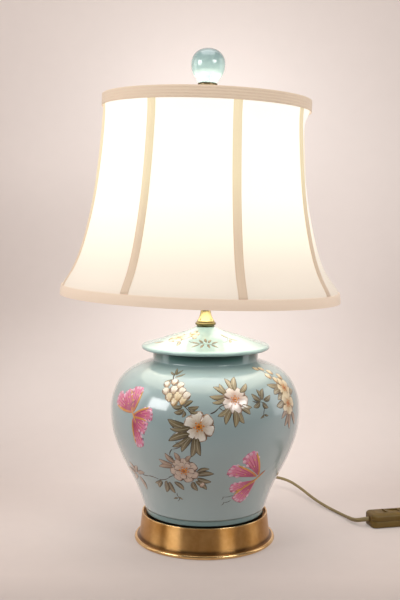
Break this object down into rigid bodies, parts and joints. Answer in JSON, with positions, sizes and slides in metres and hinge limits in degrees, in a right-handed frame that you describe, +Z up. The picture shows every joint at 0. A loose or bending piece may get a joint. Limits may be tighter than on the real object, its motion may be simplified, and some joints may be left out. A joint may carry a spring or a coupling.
{
  "type": "table lamp",
  "caption": "Porcelain ginger-jar table lamp on a turned brass foot, with a panelled bell shade on a harp, a ball finial and a cord with an inline rocker switch.",
  "frame": {"origin": "middle of the felt's underside, on the axis of the lamp's rod", "axes": "+Z up along the rod; -Y towards the viewer, the side that carries the blossom; +X to the viewer's right"},
  "size_m": [0.5758, 0.4138, 0.6267],
  "materials": {
    "felt": "matt wool felt",
    "board": "pressed board",
    "brass": "polished, slightly warm antique brass",
    "steel": "zinc plated",
    "cable_rubber": "moulded, olive brown",
    "cork": "pressed cork",
    "jar_glaze": "glossy pale duck-egg glaze with a hand-painted blossom decoration",
    "gasket": "soft, matt",
    "lid_glaze": "glossy pale duck-egg glaze with painted flowers",
    "card": "plain insulating card",
    "core_ceramic": "unglazed porcelain",
    "screw_brass": "bare pressed brass",
    "bulb_metal": "pressed, bright",
    "bulb_glass": "clear",
    "stem_glass": "clear",
    "filament": "glowing tungsten",
    "frame_wire": "cream paint",
    "shade_silk": "lit cream silk",
    "shade_lining": "white lining cloth",
    "shade_trim": "folded trim of the same cloth",
    "ball_glaze": "glossy pale duck-egg glaze",
    "cord": "flat twin cable, olive brown, satin",
    "switch_plastic": "satin brown-gold moulding",
    "tie_plastic": "thin strap",
    "plug_plastic": "satin moulding",
    "pin_metal": "nickel plated"
  },
  "bodies": {
    "lamp": {"felt_pad": "felt", "base_board": "board", "base_shell": "brass", "cable_bush": "cable_rubber", "base_washer": "steel", "base_nut": "steel", "cork_ring": "cork", "lamp_rod": "steel", "jar_body": "jar_glaze", "lid_gasket": "gasket", "jar_lid": "lid_glaze", "neck_ring": "brass", "neck_bell": "brass", "harp_saddle": "brass", "harp_wire": "brass", "harp_seat": "brass", "holder_cap": "brass", "holder_shell": "brass", "holder_liner": "card", "holder_core": "core_ceramic", "screw_shell": "screw_brass", "centre_contact": "screw_brass", "terminal_screws": "steel", "supply_lead": "cord", "cord_lead": "cord", "cord_coil": "cord", "coil_tie": "tie_plastic", "switch_lower": "switch_plastic", "switch_upper": "switch_plastic", "switch_terminals": "screw_brass", "switch_screws": "steel", "plug_body": "plug_plastic", "plug_pins": "pin_metal"},
    "sleeve_left": {"harp_sleeve_left": "brass"},
    "sleeve_right": {"harp_sleeve_right": "brass"},
    "bulb": {"bulb_cap": "bulb_metal", "bulb_glass": "bulb_glass", "bulb_stem": "stem_glass", "bulb_filament": "filament"},
    "shade": {"shade_hub": "brass", "shade_arms": "frame_wire", "shade_top_ring": "frame_wire", "shade_bottom_ring": "frame_wire", "shade_ribs": "frame_wire", "shade_panel_1": "shade_silk", "shade_panel_2": "shade_silk", "shade_panel_3": "shade_silk", "shade_panel_4": "shade_silk", "shade_panel_5": "shade_silk", "shade_panel_6": "shade_silk", "shade_panel_7": "shade_silk", "shade_panel_8": "shade_silk", "shade_lining": "shade_lining", "shade_top_band": "shade_trim", "shade_bottom_band": "shade_trim", "shade_tapes": "shade_trim"},
    "finial": {"finial_base": "brass", "finial_ball": "ball_glaze"},
    "rocker": {"switch_rocker": "switch_plastic"}
  },
  "joints": [
    {"name": "shade_turn", "type": "hinge", "parent": "lamp", "child": "shade", "pos_m": [0, 0, 0.556], "axis": [0.0297, 0, 0.9996], "continuous": true},
    {"name": "finial_lift", "type": "slide", "parent": "lamp", "child": "finial", "axis": [0.0297, 0, 0.9996], "range_m": [0, 0.03]},
    {"name": "bulb_unscrew", "type": "slide", "parent": "lamp", "child": "bulb", "axis": [0, 0, 1], "range_m": [0, 0.03]},
    {"name": "sleeve_left_slide", "type": "slide", "parent": "lamp", "child": "sleeve_left", "axis": [0, 0, 1], "range_m": [0, 0.012]},
    {"name": "sleeve_right_slide", "type": "slide", "parent": "lamp", "child": "sleeve_right", "axis": [0, 0, 1], "range_m": [0, 0.012]},
    {"name": "switch_rock", "type": "hinge", "parent": "lamp", "child": "rocker", "pos_m": [0.25309, 0.05508, 0.0152], "axis": [-0.2368, 0.9715, 0], "range_deg": [-14, 0]}
  ]
}
